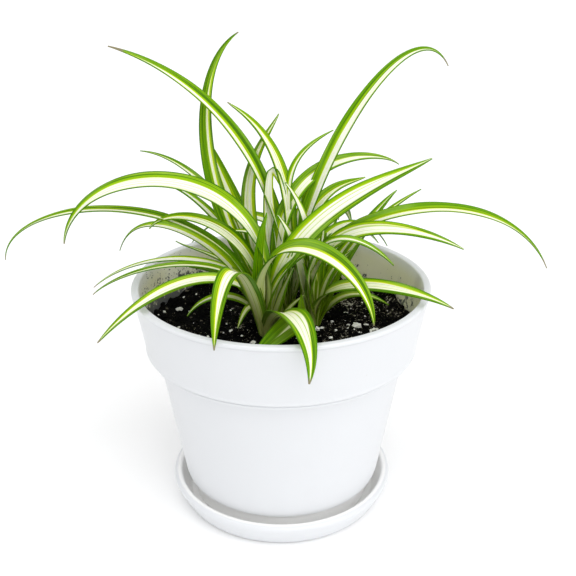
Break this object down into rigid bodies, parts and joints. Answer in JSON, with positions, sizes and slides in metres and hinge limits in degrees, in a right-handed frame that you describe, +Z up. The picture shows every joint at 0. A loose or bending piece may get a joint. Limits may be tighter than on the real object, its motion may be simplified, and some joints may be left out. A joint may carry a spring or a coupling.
{
  "type": "potted spider plant",
  "caption": "Spider plant with arching striped leaves in a round tapered plastic pot with a deep collar, filled with potting mix and standing on a round saucer.",
  "frame": {"origin": "centre of the saucer's flat underside, on the pot's axis, at ground level", "axes": "+Z up along the pot's axis; the front of the plant faces -Y, and +X is to the right seen from the front"},
  "size_m": [0.2879, 0.2025, 0.2586],
  "materials": {
    "pot_plastic": "smooth white moulded plastic with a soft sheen",
    "saucer_plastic": "smooth white moulded plastic with a soft sheen",
    "potting_mix": "loose moist peat and bark crumbs, near black, with white mineral grains",
    "leaf": "smooth waxy leaf, green at both edges with a cream stripe down the middle"
  },
  "bodies": {
    "root": {"saucer": "saucer_plastic", "pot": "pot_plastic", "potting_mix": "potting_mix", "shoot_left": "leaf", "shoot_front": "leaf", "shoot_middle": "leaf", "shoot_right": "leaf", "shoot_back": "leaf"}
  },
  "joints": []
}
